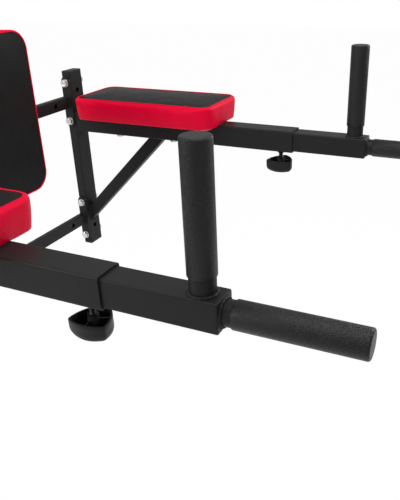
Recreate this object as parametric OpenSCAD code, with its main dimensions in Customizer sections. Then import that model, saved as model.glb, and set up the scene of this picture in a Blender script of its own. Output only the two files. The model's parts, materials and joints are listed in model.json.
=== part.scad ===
// Wall-mounted dip and knee-raise station.
// Origin: centre of the wall anchor pattern, on the wall plane. +Z up, arms reach along -Y.

/* [Wall frame] */
// Distance between the two arm centre lines
arm_spacing = 600; // [560:10:660]
// Height of each upright
upright_h = 390; // [370:5:430]
// Width of the upright's front face
upright_w = 40; // [40:1:50]
// Depth of the upright
upright_d = 20; // [20:1:25]
// Wall thickness of uprights, crossbars and braces
thin_wall = 1.5; // [1.2:0.1:2]
// Height of the upper crossbar above the middle, and of the lower one below it
crossbar_rise = 134; // [130:1:138]
// Height of a crossbar's front face
crossbar_h = 25; // [25:1:30]
// Depth of a crossbar
crossbar_d = 13; // [13:0.5:16]
// Height of the wall anchor holes above and below the middle
anchor_rise = 157; // [155:1:160]
// Diameter of the wall anchor holes
anchor_d = 10; // [8:0.5:12]
// Distance of the crossbar anchor holes from the crossbar's end
crossbar_anchor_inset = 43; // [40:1:60]

/* [Arms] */
// Height of the arm centre line above the middle
arm_z = 92; // [90:1:94]
// Outside width of the square sleeve
sleeve_w = 40; // [40:1:42]
// Distance of the sleeve's open end from the wall
sleeve_reach = 511; // [480:1:540]
// Outside width of the square inner tube
inner_w = 35; // [34:0.5:35]
// Wall thickness of sleeve and inner tube
arm_wall = 2; // [1.8:0.1:2]
// Distance of the inner tube's closed end from the wall
inner_reach = 645; // [635:1:660]
// Length of the inner tube
inner_len = 285; // [270:1:300]
// Size of the brace in its own plane
brace_h = 25; // [20:1:25]
// Size of the brace across the arm
brace_w = 20; // [16:1:20]
// Where the brace's centre line meets the arm's underside, from the wall
brace_foot = 215; // [200:1:220]

/* [Handles] */
// Diameter of the steel handle bars
bar_d = 28; // [25:0.5:28]
// Outside diameter of the rubber grips
grip_d = 31; // [30:0.5:34]
// Distance of the standing handle from the arm's closed end
post_inset = 23; // [20:1:30]
// Bare length of the standing bar below its grip
post_gap = 19; // [10:1:25]
// Length of the standing grip
post_grip_len = 137; // [120:1:140]
// Bare length of the front bar behind its grip
nose_gap = 11; // [8:1:20]
// Length of the front grip
nose_grip_len = 133; // [120:1:140]

/* [Clamp knobs] */
// Distance of the clamp screw behind the sleeve's open end
knob_inset = 28; // [25:1:35]
// Width of the three-lobed knob
knob_w = 49; // [44:1:54]
// Height of the knob
knob_h = 24; // [24:1:30]
// Gap between the arm's underside and a tightened knob's rim
knob_drop = 19; // [14:1:20]
// How far the left knob is screwed out from its tightened place
left_knob_out = 4.5; // [0:0.5:9]
// Diameter of the clamp screw
screw_d = 8; // [6:1:10]

/* [Pads] */
// Width of an arm pad
arm_pad_w = 144; // [120:1:150]
// Length of an arm pad
arm_pad_len = 315; // [300:1:315]
// Distance of an arm pad's rear end from the wall
arm_pad_rear = 53; // [50:1:60]
// Height of an arm pad at its edge
arm_pad_h = 42; // [36:1:50]
// Width of the back pad
back_pad_w = 260; // [240:1:280]
// Height of the back pad
back_pad_tall = 300; // [280:1:320]
// Height of the back pad's lower edge above the middle
back_pad_low = 2; // [-6:1:4]
// Thickness of the back pad at its edge
back_pad_t = 45; // [40:1:50]
// Rise of a pad's middle above its edge
crown = 7; // [3:0.5:10]
// Thickness of the plywood boards
board_t = 12; // [10:0.5:15]

/* [Hidden] */
$fn = 64;
SIDES = ["left", "right"];
SIDE_NODES = [
    "upright", "upright_top_plug", "upright_bottom_plug", "arm_sleeve", "arm_brace",
    "clamp_nut", "inner_tube", "inner_tube_end_plate", "inner_tube_guide", "post_bar",
    "post_grip", "nose_bar", "nose_grip", "clamp_knob", "clamp_screw", "clamp_tip",
    "arm_pad_board", "arm_pad_cushion", "arm_pad_bolts", "arm_pad_washers", "arm_pad_tee_nuts"
];
CENTRE_NODES = [
    "upper_crossbar", "lower_crossbar", "upper_end_plates", "lower_end_plates",
    "crossbar_bolts", "crossbar_washers", "crossbar_lock_nuts", "back_pad_board",
    "back_pad_cushion", "back_pad_bolts", "back_pad_washers", "back_pad_tee_nuts"
];

POWDER_BLACK = [0.06, 0.06, 0.065];
PLASTIC_BLACK = [0.04, 0.04, 0.045];
RUBBER_BLACK = [0.08, 0.08, 0.08];
VINYL_BLACK = [0.05, 0.05, 0.05];
VINYL_RED = [0.75, 0.03, 0.12];
ZINC = [0.78, 0.78, 0.78];
NYLON = [0.85, 0.83, 0.78];
PLYWOOD = [0.76, 0.6, 0.4];

eps = 0.1;                      // overrun of cutting tools
thin_r = 2;                     // outer corner radius of the frame tubes
sleeve_r = 3;                   // outer corner radius of the sleeve
inner_r = 2.5;                  // outer corner radius of the inner tube

plate_t = 4;                    // crossbar end plates
plate_len = 106;
bolt_offset = 40;               // crossbar bolts above and below the crossbar's middle
bolt_d = 8;
bolt_af = 13;
bolt_head_h = 5.3;
bolt_hole_d = 8.5;
washer_od = 16;
washer_t = 1.6;
lock_nut_h = 6.5;
thread_spare = 3;               // thread that stands out of a nut
bolt_y = -upright_d / 2;

plug_cap_t = 3;
plug_depth = 14;
plug_fit = 0.2;                 // gap between a plug and its tube

half_x = arm_spacing / 2;
side_face_x = half_x - upright_w / 2;
crossbar_half = side_face_x - plate_t;
crossbar_anchor_x = crossbar_half - crossbar_anchor_inset;
arm_bottom = arm_z - sleeve_w / 2;
arm_top = arm_z + sleeve_w / 2;
sleeve_len = sleeve_reach - upright_d;

end_plate_t = 3;
inner_front = -inner_reach + end_plate_t;
inner_rear = -inner_reach + inner_len;
guide_flange_t = 4;
guide_depth = 15;
post_y = -inner_reach + post_inset;
post_z = arm_z + inner_w / 2;
bar_wall = 2;
grip_fit = 0.05;                // gap between a grip and its bar
grip_end_t = 3;
grip_round = 2.5;

knob_y = -sleeve_reach + knob_inset;
nut_af = 13;
nut_h = 6.5;
screw_fit = 0.05;
tip_touch = 0.05;               // gap between the screw's nylon tip and the inner tube
tip_h = 3;
tip_d = 6.5;
tip_stem_d = 3;
tip_stem_h = 4;
knob_wall = 3;
knob_rim_h = 9;                 // straight part of the knob's side
knob_hub_d = 15;
knob_hub_rise = 4;              // cone of the knob's hub above the rim
knob_top = arm_bottom - knob_drop;

arm_pad_corner = 25;
back_pad_corner = 36;
cover_t = 6;                    // vinyl and foam around a board's edge
pad_bolt_rear = 120;            // arm pad bolts, distances from the wall
pad_bolt_front = 250;
pad_bolt_len = sleeve_w + 9;
back_bolt_x = 80;
back_bolt_d = 6;
back_bolt_af = 10;
back_bolt_head_h = 4;
back_washer_od = 12;
back_socket_d = 16;             // opening in the crossbar's back for the socket key
tee_flange_t = 1.5;
tee_flange_d = 22;
tee_barrel_d = 10;
tee_barrel_h = 8;
tee_fit = 0.1;

// ---- helpers ---------------------------------------------------------------------------

function side_x(side) = side == "left" ? -half_x : half_x;
function knob_out(side) = side == "left" ? left_knob_out : 0;

module on_side(side) { translate([side_x(side), 0, 0]) children(); }

// Rounded rectangle centred on the origin
module round_rect(w, h, r) {
    square([w - 2 * r, h], center = true);
    square([w, h - 2 * r], center = true);
    for (x = [-1, 1], y = [-1, 1])
        translate([x * (w / 2 - r), y * (h / 2 - r)]) circle(r);
}

// Rectangular tube along +Z, w along X and h along Y
module tube_z(w, h, wall, r, len) {
    difference() {
        linear_extrude(len) round_rect(w, h, r);
        translate([0, 0, -eps])
            linear_extrude(len + 2 * eps) round_rect(w - 2 * wall, h - 2 * wall, max(r - wall, 0.5));
    }
}

// The same tube along -Y from the origin, w along X and h along Z
module tube_front(w, h, wall, r, len) { rotate([90, 0, 0]) tube_z(w, h, wall, r, len); }

module hex(af, h) { cylinder(d = af / cos(30), h = h, $fn = 6); }

module rod_y(d, from_y, to_y) {
    translate([0, max(from_y, to_y), 0]) rotate([90, 0, 0]) cylinder(d = d, h = abs(to_y - from_y));
}

// Hex bolt along +Z with the underside of its head at the origin
module hex_bolt(d, af, head_h, len) {
    translate([0, 0, -head_h]) hex(af, head_h);
    cylinder(d = d, h = len);
}

module ring(od, id, h) {
    difference() {
        cylinder(d = od, h = h);
        translate([0, 0, -eps]) cylinder(d = id, h = h + 2 * eps);
    }
}

// Flanged tee nut along +Z: barrel first, flange on top
module tee_nut(thread_d) {
    difference() {
        union() {
            translate([0, 0, board_t - tee_flange_t - tee_barrel_h])
                cylinder(d = tee_barrel_d, h = tee_barrel_h + eps);
            translate([0, 0, board_t - tee_flange_t]) cylinder(d = tee_flange_d, h = tee_flange_t);
        }
        cylinder(d = thread_d + 2 * screw_fit, h = board_t + eps);
    }
}

// Hole in a board for a tee nut along +Z
module tee_pocket() {
    translate([0, 0, -eps]) cylinder(d = tee_barrel_d + 2 * tee_fit, h = board_t + 2 * eps);
    translate([0, 0, board_t - tee_flange_t - tee_fit])
        cylinder(d = tee_flange_d + 2 * tee_fit, h = tee_flange_t + tee_fit + eps);
}

// Crowned pad along +Z with a pocket for its board in the underside
module pad(w, len, t, r) {
    crown_r = (pow(w / 2, 2) + pow(crown, 2)) / (2 * crown);
    difference() {
        intersection() {
            linear_extrude(t + crown) round_rect(w, len, r);
            translate([0, 0, t + crown - crown_r]) rotate([90, 0, 0])
                cylinder(r = crown_r, h = len + 2 * eps, center = true, $fn = 180);
        }
        translate([0, 0, -eps]) linear_extrude(board_t + eps)
            round_rect(w - 2 * cover_t, len - 2 * cover_t, r - cover_t);
    }
}

module board(w, len, r) {
    linear_extrude(board_t)
        round_rect(w - 2 * cover_t - plug_fit, len - 2 * cover_t - plug_fit, r - cover_t);
}

// ---- wall frame ------------------------------------------------------------------------

module upright(side) {
    color(POWDER_BLACK) on_side(side) difference() {
        translate([0, -upright_d / 2, -upright_h / 2])
            tube_z(upright_w, upright_d, thin_wall, thin_r, upright_h);
        for (z = [-anchor_rise, anchor_rise])
            translate([0, 0, z]) rod_y(anchor_d, -upright_d - eps, eps);
        for (z = crossbar_bolt_heights())
            translate([0, bolt_y, z]) rotate([0, 90, 0])
                cylinder(d = bolt_hole_d, h = upright_w + 2 * eps, center = true);
    }
}

module upright_plug(side, end) {
    color(PLASTIC_BLACK) on_side(side)
        translate([0, -upright_d / 2, end * upright_h / 2]) scale([1, 1, end]) {
            linear_extrude(plug_cap_t) round_rect(upright_w, upright_d, thin_r);
            translate([0, 0, -plug_depth]) linear_extrude(plug_depth)
                round_rect(upright_w - 2 * (thin_wall + plug_fit), upright_d - 2 * (thin_wall + plug_fit), 1);
        }
}

function crossbar_bolt_heights() = [for (s = [-1, 1], o = [-1, 1]) s * crossbar_rise + o * bolt_offset];

module crossbar(level) {
    color(POWDER_BLACK) translate([0, -crossbar_d / 2, level * crossbar_rise]) difference() {
        translate([-crossbar_half, 0, 0]) rotate([90, 0, 90])
            tube_z(crossbar_d, crossbar_h, thin_wall, thin_r, 2 * crossbar_half);
        for (x = [-crossbar_anchor_x, crossbar_anchor_x])
            translate([x, 0, 0]) rod_y(anchor_d, -crossbar_d, crossbar_d);
        if (level > 0)
            for (x = [-back_bolt_x, back_bolt_x]) translate([x, 0, 0]) {
                rod_y(back_bolt_d + 0.5, -crossbar_d, 0);
                rod_y(back_socket_d, 0, crossbar_d);
            }
    }
}

module end_plates(level) {
    color(POWDER_BLACK) for (s = [-1, 1])
        translate([s * (side_face_x - plate_t / 2), bolt_y, level * crossbar_rise])
            rotate([0, 90, 0]) difference() {
                linear_extrude(plate_t, center = true) {
                    square([plate_len - upright_d, upright_d], center = true);
                    for (x = [-1, 1]) translate([x * (plate_len - upright_d) / 2, 0]) circle(d = upright_d);
                }
                for (x = [-bolt_offset, bolt_offset]) translate([x, 0, 0])
                    cylinder(d = bolt_hole_d, h = plate_t + 2 * eps, center = true);
            }
}

// Places its children at every crossbar bolt, +Z along the bolt and outwards,
// with the origin on the end plate's inner face
module at_crossbar_bolts() {
    for (s = [-1, 1], z = crossbar_bolt_heights())
        translate([s * crossbar_half, bolt_y, z]) rotate([0, s * 90, 0]) children();
}

clamped_t = plate_t + upright_w;        // plate and upright between the washers

module crossbar_bolts() {
    color(ZINC) at_crossbar_bolts() translate([0, 0, -washer_t])
        hex_bolt(bolt_d, bolt_af, bolt_head_h, clamped_t + 2 * washer_t + lock_nut_h + thread_spare);
}

module crossbar_washers() {
    color(ZINC) at_crossbar_bolts() {
        translate([0, 0, -washer_t]) ring(washer_od, bolt_hole_d, washer_t);
        translate([0, 0, clamped_t]) ring(washer_od, bolt_hole_d, washer_t);
    }
}

module crossbar_lock_nuts() {
    color(ZINC) at_crossbar_bolts() translate([0, 0, clamped_t + washer_t]) difference() {
        hex(bolt_af, lock_nut_h);
        translate([0, 0, -eps]) cylinder(d = bolt_d + 2 * screw_fit, h = lock_nut_h + 2 * eps);
    }
}

// ---- arms ------------------------------------------------------------------------------

module arm_sleeve(side) {
    color(POWDER_BLACK) on_side(side) difference() {
        translate([0, -upright_d, arm_z])
            tube_front(sleeve_w, sleeve_w, arm_wall, sleeve_r, sleeve_len);
        translate([0, knob_y, arm_bottom - eps]) cylinder(d = screw_d + 1, h = arm_wall + 2 * eps);
        for (y = [pad_bolt_rear, pad_bolt_front])
            translate([0, -y, arm_bottom - eps]) cylinder(d = bolt_hole_d, h = sleeve_w + 2 * eps);
    }
}

module arm_brace(side) {
    reach = 2 * (brace_foot + upright_d);
    color(POWDER_BLACK) on_side(side) intersection() {
        translate([0, -brace_foot, arm_bottom]) rotate([45, 0, 0])
            translate([0, 0, -reach]) tube_z(brace_w, brace_h, thin_wall, thin_r, 2 * reach);
        translate([-brace_w, -upright_d - reach, arm_bottom - reach]) cube([2 * brace_w, reach, reach]);
    }
}

module clamp_nut(side) {
    color(POWDER_BLACK) on_side(side) translate([0, knob_y, arm_bottom - nut_h]) difference() {
        hex(nut_af, nut_h);
        translate([0, 0, -eps]) cylinder(d = screw_d + 2 * screw_fit, h = nut_h + 2 * eps);
    }
}

module inner_tube(side) {
    color(POWDER_BLACK) on_side(side) translate([0, inner_rear, arm_z])
        tube_front(inner_w, inner_w, arm_wall, inner_r, inner_len - end_plate_t);
}

module inner_tube_end_plate(side) {
    color(POWDER_BLACK) on_side(side) translate([0, inner_front, arm_z]) rotate([90, 0, 0])
        linear_extrude(end_plate_t) round_rect(inner_w, inner_w, inner_r);
}

module inner_tube_guide(side) {
    color(PLASTIC_BLACK) on_side(side) translate([0, inner_rear, arm_z]) rotate([90, 0, 0]) {
        translate([0, 0, -guide_flange_t]) linear_extrude(guide_flange_t) round_rect(inner_w, inner_w, inner_r);
        linear_extrude(guide_depth) round_rect(inner_w - 2 * (arm_wall + plug_fit),
                                               inner_w - 2 * (arm_wall + plug_fit), 1);
    }
}

module handle_bar(len) { ring(bar_d, bar_d - 2 * bar_wall, len); }

// Rubber grip along +Z: open at the origin, closed and rounded at its far end
module handle_grip(len) {
    rotate_extrude($fn = 96) difference() {
        union() {
            square([grip_d / 2, len - grip_round]);
            square([grip_d / 2 - grip_round, len]);
            translate([grip_d / 2 - grip_round, len - grip_round]) circle(grip_round);
        }
        translate([-grip_d, -eps]) square([grip_d, len + 2 * eps]);
        translate([-eps, -eps]) square([bar_d / 2 + grip_fit + eps, len - grip_end_t + eps]);
    }
}

module post_bar(side) {
    color(POWDER_BLACK) on_side(side) translate([0, post_y, post_z])
        handle_bar(post_gap + post_grip_len - grip_end_t);
}

module post_grip(side) {
    color(RUBBER_BLACK) on_side(side) translate([0, post_y, post_z + post_gap]) handle_grip(post_grip_len);
}

module nose_bar(side) {
    color(POWDER_BLACK) on_side(side) translate([0, -inner_reach, arm_z]) rotate([90, 0, 0])
        handle_bar(nose_gap + nose_grip_len - grip_end_t);
}

module nose_grip(side) {
    color(RUBBER_BLACK) on_side(side) translate([0, -inner_reach - nose_gap, arm_z])
        rotate([90, 0, 0]) handle_grip(nose_grip_len);
}

// ---- clamp knobs -----------------------------------------------------------------------

module at_knob(side) { on_side(side) translate([0, knob_y, -knob_out(side)]) children(); }

// Three-lobed outline of constant width, its points slightly blunt, one side facing -X
module lobed_outline(w) {
    corner_r = w / sqrt(3);
    intersection() {
        for_corners(corner_r, 0) circle(w, $fn = 180);
        for_corners(corner_r, 1) circle(w, $fn = 180);
        for_corners(corner_r, 2) circle(w, $fn = 180);
        circle(corner_r - 1);
    }
}

module for_corners(r, i) { rotate(i * 120) translate([r, 0]) children(); }

module clamp_knob(side) {
    corner_r = knob_w / sqrt(3);
    dome_h = knob_h - knob_rim_h;
    dome_r = (pow(corner_r, 2) + pow(dome_h, 2)) / (2 * dome_h);
    cavity_h = knob_h - 2 * knob_wall;
    color(PLASTIC_BLACK) at_knob(side) translate([0, 0, knob_top - knob_h]) difference() {
        union() {
            intersection() {
                linear_extrude(knob_h) lobed_outline(knob_w);
                translate([0, 0, dome_r]) sphere(dome_r, $fn = 180);
            }
            translate([0, 0, knob_h]) cylinder(d1 = knob_hub_d, d2 = 1.5 * screw_d, h = knob_hub_rise);
        }
        translate([0, 0, knob_h - cavity_h + knob_wall]) difference() {
            linear_extrude(cavity_h) lobed_outline(knob_w - 2 * knob_wall);
            cylinder(d = knob_hub_d, h = cavity_h);
        }
        translate([0, 0, 2 * knob_wall]) cylinder(d = screw_d, h = knob_h + eps);
    }
}

screw_low = knob_top - knob_h + 2 * knob_wall;
tip_top = arm_z - inner_w / 2 - tip_touch;
screw_top = tip_top - tip_h;

module clamp_screw(side) {
    color(ZINC) at_knob(side) translate([0, 0, screw_low]) difference() {
        cylinder(d = screw_d, h = screw_top - screw_low);
        translate([0, 0, screw_top - screw_low - tip_stem_h - screw_fit])
            cylinder(d = tip_stem_d + 2 * screw_fit, h = tip_stem_h + 1);
    }
}

module clamp_tip(side) {
    color(NYLON) at_knob(side) translate([0, 0, screw_top]) {
        cylinder(d = tip_d, h = tip_h);
        translate([0, 0, -tip_stem_h]) cylinder(d = tip_stem_d, h = tip_stem_h + eps);
    }
}

// ---- pads ------------------------------------------------------------------------------

module at_arm_pad(side) {
    on_side(side) translate([0, -arm_pad_rear - arm_pad_len / 2, arm_top]) children();
}

module at_arm_pad_bolts(side) {
    for (y = [pad_bolt_rear, pad_bolt_front]) on_side(side) translate([0, -y, arm_bottom]) children();
}

module arm_pad_board(side) {
    color(PLYWOOD) difference() {
        at_arm_pad(side) board(arm_pad_w, arm_pad_len, arm_pad_corner);
        at_arm_pad_bolts(side) translate([0, 0, sleeve_w]) tee_pocket();
    }
}

module arm_pad_cushion(side) {
    color(VINYL_RED) at_arm_pad(side) pad(arm_pad_w, arm_pad_len, arm_pad_h, arm_pad_corner);
}

module arm_pad_bolts(side) {
    color(ZINC) at_arm_pad_bolts(side) translate([0, 0, -washer_t])
        hex_bolt(bolt_d, bolt_af, bolt_head_h, pad_bolt_len);
}

module arm_pad_washers(side) {
    color(ZINC) at_arm_pad_bolts(side) translate([0, 0, -washer_t]) ring(washer_od, bolt_hole_d, washer_t);
}

module arm_pad_tee_nuts(side) {
    color(ZINC) at_arm_pad_bolts(side) translate([0, 0, sleeve_w]) tee_nut(bolt_d);
}

module at_back_pad() {
    translate([0, -crossbar_d, back_pad_low + back_pad_tall / 2]) rotate([90, 0, 0]) children();
}

// Places its children at the back pad's bolts, +Z pointing away from the wall,
// with the origin on the crossbar's front face
module at_back_pad_bolts() {
    for (x = [-back_bolt_x, back_bolt_x])
        translate([x, -crossbar_d, crossbar_rise]) rotate([90, 0, 0]) children();
}

module back_pad_board() {
    color(PLYWOOD) difference() {
        at_back_pad() board(back_pad_w, back_pad_tall, back_pad_corner);
        at_back_pad_bolts() tee_pocket();
    }
}

module back_pad_cushion() {
    color(VINYL_BLACK) at_back_pad() pad(back_pad_w, back_pad_tall, back_pad_t, back_pad_corner);
}

module back_pad_bolts() {
    color(ZINC) at_back_pad_bolts() translate([0, 0, -thin_wall - washer_t])
        hex_bolt(back_bolt_d, back_bolt_af, back_bolt_head_h, thin_wall + washer_t + board_t - thread_spare);
}

module back_pad_washers() {
    color(ZINC) at_back_pad_bolts() translate([0, 0, -thin_wall - washer_t])
        ring(back_washer_od, back_bolt_d + 0.5, washer_t);
}

module back_pad_tee_nuts() { color(ZINC) at_back_pad_bolts() tee_nut(back_bolt_d); }

// ---- nodes -----------------------------------------------------------------------------

module side_part(side, part) {
    if (part == "upright") upright(side);
    if (part == "upright_top_plug") upright_plug(side, 1);
    if (part == "upright_bottom_plug") upright_plug(side, -1);
    if (part == "arm_sleeve") arm_sleeve(side);
    if (part == "arm_brace") arm_brace(side);
    if (part == "clamp_nut") clamp_nut(side);
    if (part == "inner_tube") inner_tube(side);
    if (part == "inner_tube_end_plate") inner_tube_end_plate(side);
    if (part == "inner_tube_guide") inner_tube_guide(side);
    if (part == "post_bar") post_bar(side);
    if (part == "post_grip") post_grip(side);
    if (part == "nose_bar") nose_bar(side);
    if (part == "nose_grip") nose_grip(side);
    if (part == "clamp_knob") clamp_knob(side);
    if (part == "clamp_screw") clamp_screw(side);
    if (part == "clamp_tip") clamp_tip(side);
    if (part == "arm_pad_board") arm_pad_board(side);
    if (part == "arm_pad_cushion") arm_pad_cushion(side);
    if (part == "arm_pad_bolts") arm_pad_bolts(side);
    if (part == "arm_pad_washers") arm_pad_washers(side);
    if (part == "arm_pad_tee_nuts") arm_pad_tee_nuts(side);
}

for (side = SIDES, part = SIDE_NODES)
    side_part(side, part);
crossbar(1);  // upper_crossbar
crossbar(-1);  // lower_crossbar
end_plates(1);  // upper_end_plates
end_plates(-1);  // lower_end_plates
crossbar_bolts();
crossbar_washers();
crossbar_lock_nuts();
back_pad_board();
back_pad_cushion();
back_pad_bolts();
back_pad_washers();
back_pad_tee_nuts();
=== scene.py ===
"""Looks of a wall-mounted dip station: finishes, pads, grips, knobs, fasteners and welds."""
import json
import math

import bmesh
import bpy
from bpy.props import FloatProperty, FloatVectorProperty, IntProperty, PointerProperty
from mathutils import Matrix, Vector, noise


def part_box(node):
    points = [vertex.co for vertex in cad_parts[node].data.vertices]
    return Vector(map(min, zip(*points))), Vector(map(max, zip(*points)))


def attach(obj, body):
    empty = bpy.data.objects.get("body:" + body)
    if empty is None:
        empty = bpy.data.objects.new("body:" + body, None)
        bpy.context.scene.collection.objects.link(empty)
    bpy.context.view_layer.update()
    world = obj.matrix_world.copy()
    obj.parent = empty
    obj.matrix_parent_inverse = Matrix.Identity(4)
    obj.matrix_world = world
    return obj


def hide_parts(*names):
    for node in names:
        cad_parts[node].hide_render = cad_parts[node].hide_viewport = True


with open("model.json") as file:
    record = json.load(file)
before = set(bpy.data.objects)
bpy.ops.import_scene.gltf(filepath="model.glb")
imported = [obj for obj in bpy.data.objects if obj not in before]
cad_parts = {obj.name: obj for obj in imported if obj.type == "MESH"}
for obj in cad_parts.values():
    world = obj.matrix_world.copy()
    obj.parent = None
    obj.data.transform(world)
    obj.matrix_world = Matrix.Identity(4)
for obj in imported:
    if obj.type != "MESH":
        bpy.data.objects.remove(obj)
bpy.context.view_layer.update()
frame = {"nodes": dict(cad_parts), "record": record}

bl_info = {
    "name": "Dip Station",
    "version": (1, 0, 0),
    "blender": (4, 5, 0),
    "location": "View3D > Sidebar > Dip Station",
    "description": "Finishes and soft parts for a wall-mounted dip station",
    "category": "Object",
}

SIDES = ("left", "right")
MM = 0.001
DOWN = Vector((0, 0, -1))
FORWARD = Vector((0, -1, 0))
RIGHT = Vector((1, 0, 0))
UP = Vector((0, 0, 1))
CROWN = 7 * MM                     # rise of a pad's middle above its edge
ARM_PAD_CORNER = 25 * MM
BACK_PAD_CORNER = 36 * MM
SEAM_DROP = 0.7 * MM               # how far the seam lies below the pad's edge
PLUG_CORNER = 2 * MM
PLUG_INSET = 1.7 * MM              # from an upright's outside to its plug's stem
END_PLATE_CORNER = 2.5 * MM
HUB_RISE = 4 * MM                  # the knob's hub above its rim
BOLT_RADIUS = 4 * MM
BOLT_ACROSS = 13 * MM              # across the flats of heads and nuts
BOLT_HEAD = 5.3 * MM
LOCK_NUT = 6.5 * MM
WASHER = 1.6 * MM
ARM_PAD_BOLT = 49 * MM
BRACE_DEPTH = 25 * MM
WELD_SEED = 3
WALL_GAP = 4.5 * MM                # no bead is laid this close to the wall
FACE_TRAVEL = 4.5 * MM             # how far the foam may push a cover's face
SIDE_TRAVEL = 2.2 * MM
STAPLE_INSET = 13 * MM
CLOTH = {"vertex_group_mass": "held", "quality": 5, "mass": 0.25, "tension_stiffness": 12,
         "compression_stiffness": 12, "shear_stiffness": 4, "bending_stiffness": 0.4,
         "use_pressure": True}


# ---- shader maths ----------------------------------------------------------------------

class Shade:
    """A number or colour in a material; arithmetic on it adds Math nodes."""

    def __init__(self, paint, socket):
        self.paint = paint
        self.socket = socket

    def math(self, operation, *values):
        return self.paint.add("ShaderNodeMath", {"operation": operation}, *values)

    def __add__(self, other):
        return self.math("ADD", self, other)

    def __sub__(self, other):
        return self.math("SUBTRACT", self, other)

    def __rsub__(self, other):
        return self.math("SUBTRACT", other, self)

    def __mul__(self, other):
        return self.math("MULTIPLY", self, other)

    __radd__ = __add__
    __rmul__ = __mul__


class Paint:
    """Builds one material, or the world, out of nodes, on Object coordinates."""

    def __init__(self, name, holder=None):
        self.material = holder or bpy.data.materials.new(name)
        self.material.use_nodes = True
        self.tree = self.material.node_tree
        self.tree.nodes.clear()
        self.place = self.add("ShaderNodeTexCoord", {}, out="Object")

    def add(self, kind, settings, *values, out=0, **named):
        """One node: its settings first, then values or links by position or by socket name."""
        node = self.tree.nodes.new(kind)
        for key, value in settings.items():
            setattr(node, key, value)
        for key, value in list(enumerate(values)) + list(named.items()):
            name = key.replace("_", " ") if isinstance(key, str) else key
            if isinstance(value, Shade):
                self.tree.links.new(value.socket, node.inputs[name])
            else:
                node.inputs[name].default_value = value
        return Shade(self, node.outputs[out]) if node.outputs else None

    def noise(self, size, detail=3.0, roughness=0.5, where=None):
        """Noise from 0 to 1 whose features are about size metres across."""
        return self.add("ShaderNodeTexNoise", {}, Vector=where or self.place, Scale=1 / size,
                        Detail=detail, Roughness=roughness)

    def cells(self, size, feature="F1", where=None):
        """Distance to the nearest cell centre or edge, for grain and pebbles."""
        return self.add("ShaderNodeTexVoronoi", {"feature": feature}, Vector=where or self.place,
                        Scale=1 / size, out="Distance")

    def between(self, value, low, high):
        """value stretched so that low to high becomes 0 to 1, and clamped."""
        return self.add("ShaderNodeMapRange", {}, value, low, high)

    def mix(self, factor, first, second):
        node = self.tree.nodes.new("ShaderNodeMix")
        node.data_type = "RGBA"
        for name, value in (("Factor_Float", factor), ("A_Color", first), ("B_Color", second)):
            socket = next(s for s in node.inputs if s.identifier == name)
            if isinstance(value, Shade):
                self.tree.links.new(value.socket, socket)
            elif name == "Factor_Float":
                socket.default_value = value
            else:
                socket.default_value = (*value, 1)
        result = next(s for s in node.outputs if s.identifier == "Result_Color")
        return Shade(self, result)

    def bump(self, height, depth, strength=1.0):
        return self.add("ShaderNodeBump", {}, Strength=strength, Distance=depth, Height=height,
                        out="Normal")

    def finish(self, colour, **sockets):
        """The surface itself; colour is a triple or a Shade."""
        if not isinstance(colour, Shade):
            colour = (*colour, 1)
        surface = self.add("ShaderNodeBsdfPrincipled", {}, Base_Color=colour, **sockets)
        self.add("ShaderNodeOutputMaterial", {}, Surface=surface)
        return self.material


def scaled(colour, amount):
    return tuple(channel * amount for channel in colour)


# ---- settings --------------------------------------------------------------------------

def number(name, description, default, **limits):
    return FloatProperty(name=name, description=description, default=default, **limits)


def length(name, description, default):
    return number(name, description, default, unit="LENGTH")


def place(name, description, default):
    return FloatVectorProperty(name=name, description=description, default=default,
                               subtype="TRANSLATION")


def colour(name, description, default):
    return FloatVectorProperty(name=name, description=description, default=default,
                               subtype="COLOR", min=0, max=1)


class DIPSTATION_PG_stage(bpy.types.PropertyGroup):
    camera_place: place("Camera place", "Where the camera stands", (-0.7504, -0.8636, 0.4019))
    camera_turn: FloatVectorProperty(
        name="Camera turn", description="How the camera is turned", subtype="EULER",
        default=(math.radians(64.39), math.radians(1.49), math.radians(-65.25)))
    lens: number("Lens", "Focal length", 43.4, unit="CAMERA")
    shift_x: number("Shift X", "Sideways lens shift", -0.054)
    shift_y: number("Shift Y", "Upward lens shift", -0.006)
    floor_drop: length("Floor drop", "How far below the station the floor lies", 0.6)
    floor_tone: colour("Floor", "Colour of the floor", (0.9, 0.9, 0.9))
    floor_lift: number("Floor lift", "How much the floor glows white", 0.975, min=0, max=1)
    sky: number("Sky", "Strength of the even light", 0.52, min=0)
    glossy_sky: number("Glossy sky", "White sky seen in reflections", 0.02, min=0, max=1)
    key_place: place("Key place", "Where the key light hangs", (-0.3, -0.6, 1.8))
    key_size: length("Key size", "Width of the key light", 1.4)
    key_power: number("Key", "Power of the key light", 24, unit="POWER")
    fill_place: place("Fill place", "Where the back light hangs", (-1.3, 0.9, 0.7))
    fill_size: length("Fill size", "Width of the back light", 0.8)
    fill_power: number("Fill", "Power of the back light", 15, unit="POWER")
    rim_place: place("Rim place", "Where the side light hangs", (1.3, -1.2, 0.6))
    rim_size: length("Rim size", "Width of the side light", 0.5)
    rim_power: number("Rim", "Power of the side light", 8, unit="POWER")


class DIPSTATION_PG_finish(bpy.types.PropertyGroup):
    powder: colour("Powder coat", "Colour of the coated steel", (0.0125, 0.0125, 0.0128))
    plastic: colour("Plastic", "Colour of knobs and plugs", (0.010, 0.010, 0.0105))
    rubber: colour("Rubber", "Colour of the hand grips", (0.0068, 0.0068, 0.0069))
    red: colour("Red vinyl", "Colour of the pads' sides", (0.76, 0.0004, 0.034))
    black: colour("Black vinyl", "Colour of the pads' faces", (0.0095, 0.0095, 0.0098))
    zinc: colour("Zinc", "Colour of the plated fasteners", (0.72, 0.72, 0.71))


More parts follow.
